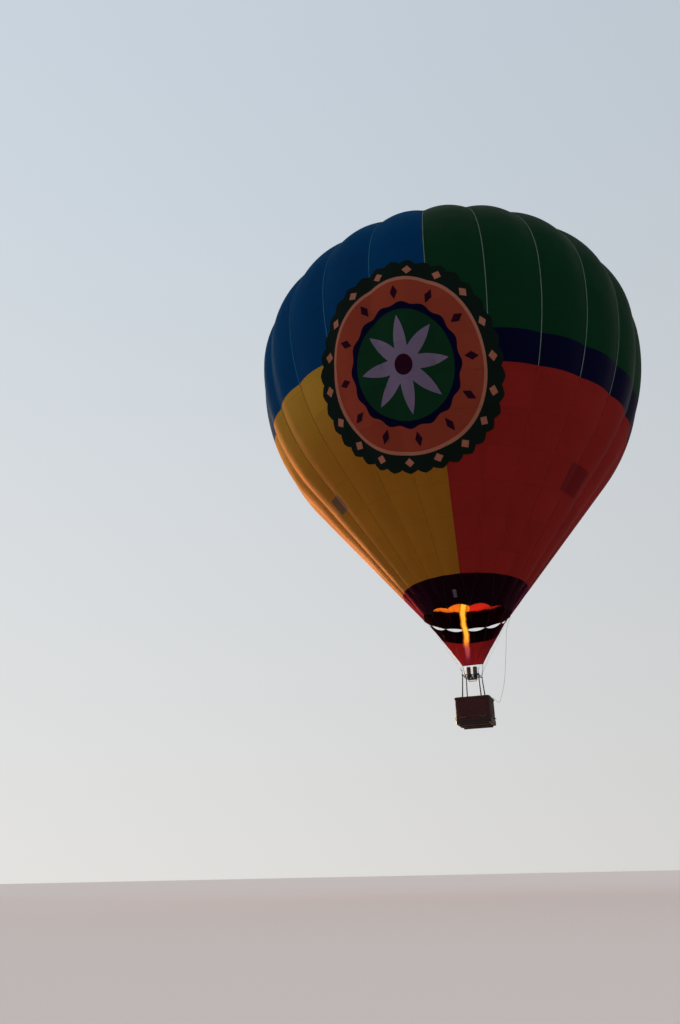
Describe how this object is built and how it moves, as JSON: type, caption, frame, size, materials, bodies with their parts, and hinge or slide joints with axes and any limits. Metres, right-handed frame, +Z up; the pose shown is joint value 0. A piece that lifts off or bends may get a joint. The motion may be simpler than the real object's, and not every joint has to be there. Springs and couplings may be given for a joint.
{
  "type": "hot air balloon",
  "caption": "Hot air balloon with a two-sided colour-blocked fabric envelope, parachute valve, scoop, gimballed burner on a frame and a wicker basket.",
  "frame": {"origin": "on the envelope's axis at its widest level, where the lift acts", "axes": "+Z up along the envelope's axis, -Y to the side that the scoop opens to, +X to the side with the green and red panels"},
  "size_m": [18.342, 18.342, 24.131],
  "materials": {
    "blue_fabric": "coated ripstop",
    "green_fabric": "coated ripstop",
    "navy_fabric": "coated ripstop",
    "yellow_fabric": "coated ripstop",
    "red_fabric": "coated ripstop",
    "black_fabric": "flame-proof cloth",
    "scoop_red_fabric": "flame-proof cloth",
    "webbing": "woven tape",
    "steel_wire": "stranded",
    "frame_steel": "brushed",
    "crown_alloy": "satin",
    "burner_steel": "heat tinted",
    "coil_steel": "heat tinted",
    "lever_red": "gloss",
    "grip_black": "matte",
    "wicker": "woven willow",
    "rim_leather": "stitched",
    "hide_leather": "rawhide",
    "floor_wood": "plywood",
    "runner_wood": "worn",
    "upright_leather": "stitched sleeve",
    "tank_cover": "padded cover",
    "valve_brass": "satin",
    "rope": "braided"
  },
  "bodies": {
    "balloon": {"blue_upper_panels": "blue_fabric", "green_upper_panels": "green_fabric", "navy_band": "navy_fabric", "yellow_lower_panels": "yellow_fabric", "red_lower_panels": "red_fabric", "mouth_band": "black_fabric", "crown_ring": "crown_alloy", "scoop_black_strip": "black_fabric", "scoop_red_panel": "scoop_red_fabric", "scoop_strap_left": "webbing", "scoop_strap_right": "webbing", "burner_frame": "frame_steel", "basket_walls": "wicker", "basket_rim": "rim_leather", "basket_floor": "floor_wood", "basket_hide": "hide_leather", "basket_runners": "runner_wood", "crown_line": "rope", "line_ring": "steel_wire", "line_cleat": "steel_wire", "flying_wires_front_right": "steel_wire", "upright_front_right": "upright_leather", "fuel_tank_front_right": "tank_cover", "tank_valve_front_right": "valve_brass", "flying_wires_back_right": "steel_wire", "upright_back_right": "upright_leather", "fuel_tank_back_right": "tank_cover", "tank_valve_back_right": "valve_brass", "flying_wires_back_left": "steel_wire", "upright_back_left": "upright_leather", "fuel_tank_back_left": "tank_cover", "tank_valve_back_left": "valve_brass", "flying_wires_front_left": "steel_wire", "upright_front_left": "upright_leather", "fuel_tank_front_left": "tank_cover", "tank_valve_front_left": "valve_brass"},
    "parachute": {"parachute_valve": "blue_fabric"},
    "gimbal": {"gimbal_ring": "frame_steel"},
    "burner": {"burner_block": "burner_steel", "burner_can_left": "burner_steel", "burner_can_right": "burner_steel", "burner_coil_left": "coil_steel", "burner_coil_right": "coil_steel", "blast_lever_left": "lever_red", "blast_lever_right": "lever_red", "hand_bar": "grip_black"}
  },
  "joints": [
    {"name": "valve_slide", "type": "slide", "parent": "balloon", "child": "parachute", "axis": [0, 0, -1], "range_m": [0, 0.9], "stiffness_N_per_m": 400, "springref_m": -0.6},
    {"name": "gimbal_pitch", "type": "hinge", "parent": "balloon", "child": "gimbal", "pos_m": [0, 0, -15.11], "axis": [1, 0, 0], "range_deg": [-15, 15]},
    {"name": "burner_roll", "type": "hinge", "parent": "gimbal", "child": "burner", "pos_m": [0, 0, -15.11], "axis": [0, 1, 0], "range_deg": [-15, 15]}
  ]
}
